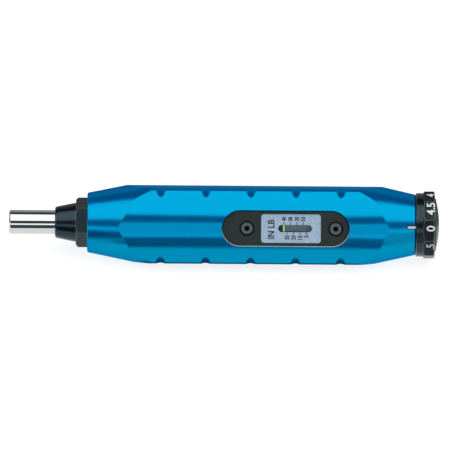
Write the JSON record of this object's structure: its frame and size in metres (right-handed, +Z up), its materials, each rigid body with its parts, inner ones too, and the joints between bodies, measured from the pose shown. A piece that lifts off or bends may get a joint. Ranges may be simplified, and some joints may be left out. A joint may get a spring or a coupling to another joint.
{
  "type": "torque screwdriver",
  "caption": "Micrometer-adjustable torque screwdriver with a hexagonal grip, sight window with scale, rear setting dial and hexagon bit socket.",
  "frame": {"origin": "on the resting surface, under the middle of the tool", "axes": "+X along the tool's axis from the bit socket to the dial, +Z up, the sight window faces -Y and up"},
  "size_m": [0.187, 0.0334, 0.0344],
  "materials": {
    "blue_anodised": "satin anodised",
    "black_anodised": "black satin",
    "dial_black": "black satin with white numbers",
    "chrome": "polished",
    "steel": "turned and ground",
    "dark_screw": "black oxide",
    "scale_silver": "brushed, printed black",
    "indicator_grey": "matt with a yellow-green line",
    "bronze": "machined",
    "spring_steel": "oiled",
    "seal_rubber": "matt",
    "nylon": "matt",
    "magnet": "nickel plated"
  },
  "bodies": {
    "handle_body": {"handle": "blue_anodised", "nose_cone": "black_anodised", "nose_nut": "black_anodised", "front_bush": "bronze", "shaft_seal": "seal_rubber", "front_thrust_washer": "steel", "clutch_sleeve": "steel", "window_bezel": "black_anodised", "scale_plate": "scale_silver", "guide_screw": "dark_screw", "bezel_screw": "dark_screw", "rear_plug": "black_anodised", "rear_thrust_washer": "steel", "main_spring": "spring_steel"},
    "drive": {"drive_shaft": "chrome", "bit_magnet": "magnet"},
    "clutch": {"clutch_plate": "steel", "clutch_balls": "chrome", "front_spring_seat": "steel"},
    "indicator": {"adjust_nut": "bronze", "indicator_sleeve": "indicator_grey", "rear_spring_seat": "steel"},
    "dial_group": {"dial": "dial_black", "lead_screw": "steel", "dial_screw": "steel", "dial_cap": "dial_black", "friction_washer": "nylon"}
  },
  "joints": [
    {"name": "dial_turn", "type": "hinge", "parent": "handle_body", "child": "dial_group", "pos_m": [0.08908, 0, 0.01575], "axis": [1, 0, 0], "range_deg": [0, 2520]},
    {"name": "indicator_slide", "type": "slide", "parent": "handle_body", "child": "indicator", "axis": [1, 0, 0], "range_m": [0, 0.0098], "deforming": ["main_spring"]},
    {"name": "drive_spin", "type": "hinge", "parent": "handle_body", "child": "drive", "pos_m": [-0.09348, 0, 0.01575], "axis": [1, 0, 0], "continuous": true},
    {"name": "clutch_slide", "type": "slide", "parent": "handle_body", "child": "clutch", "axis": [1, 0, 0], "range_m": [0, 0.0009], "stiffness_N_per_m": 3000}
  ],
  "couplings": [
    {"joint": "dial_turn", "follows": "indicator_slide", "rad_per_m": 4488}
  ]
}
